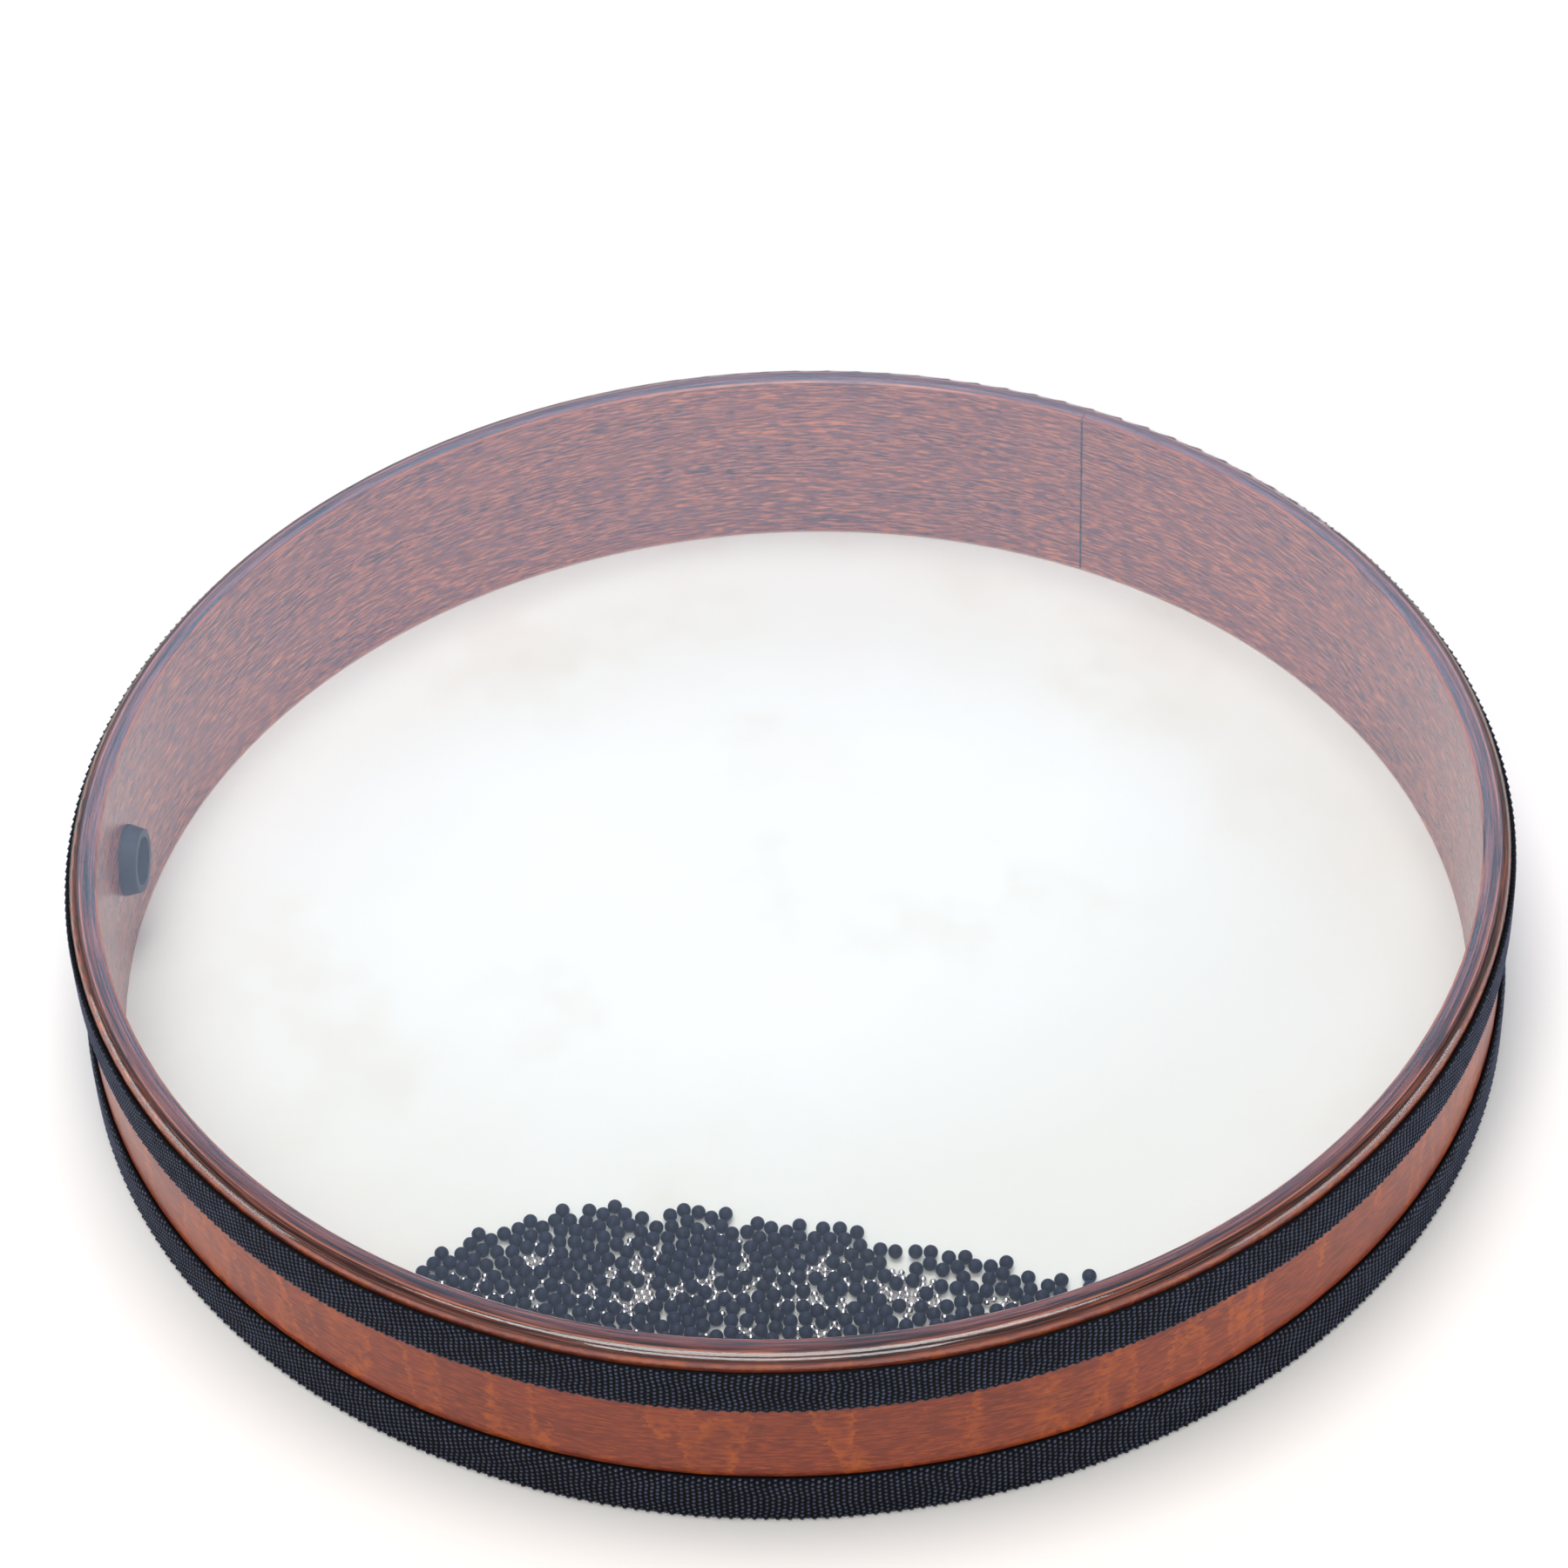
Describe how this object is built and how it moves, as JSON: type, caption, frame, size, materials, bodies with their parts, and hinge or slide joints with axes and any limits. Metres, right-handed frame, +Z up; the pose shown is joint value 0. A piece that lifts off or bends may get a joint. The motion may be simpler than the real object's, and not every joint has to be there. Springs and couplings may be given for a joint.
{
  "type": "ocean drum",
  "caption": "Shallow round drum: bent wooden hoop, clear film head above, skin head below, woven edge tapes, a filler plug, and loose beads and steel shot that swirl inside like surf.",
  "frame": {"origin": "middle of the skin head's underside, on the surface that the drum stands on", "axes": "+Z up along the hoop's axis, -X towards the filler plug, -Y towards the heap of beads"},
  "size_m": [0.4064, 0.4064, 0.0618],
  "materials": {
    "stained_face_ply": "red-brown stain under gloss lacquer",
    "core_ply": "red-brown stain, edge grain",
    "stained_inner_ply": "red-brown stain, satin",
    "clear_film": "clear stretched film",
    "drum_skin": "off-white scraped skin, faintly mottled",
    "woven_tape": "ribbed woven webbing",
    "plug_rubber": "moulded, matt",
    "bead_plastic": "matt navy black",
    "shot_steel": "polished"
  },
  "bodies": {
    "drum": {"shell_outer_ply": "stained_face_ply", "shell_core_ply": "core_ply", "shell_inner_ply": "stained_inner_ply", "clear_head": "clear_film", "skin_head": "drum_skin", "top_tape": "woven_tape", "bottom_tape": "woven_tape"},
    "plug": {"filler_plug": "plug_rubber"},
    "filling": {"black_beads": "bead_plastic", "steel_shot": "shot_steel"}
  },
  "joints": [
    {"name": "plug_pull", "type": "slide", "parent": "drum", "child": "plug", "axis": [-1, 0, 0], "range_m": [0, 0.03]},
    {"name": "bead_swirl", "type": "hinge", "parent": "drum", "child": "filling", "pos_m": [0, 0, 0], "axis": [0, 0, 1], "continuous": true}
  ]
}
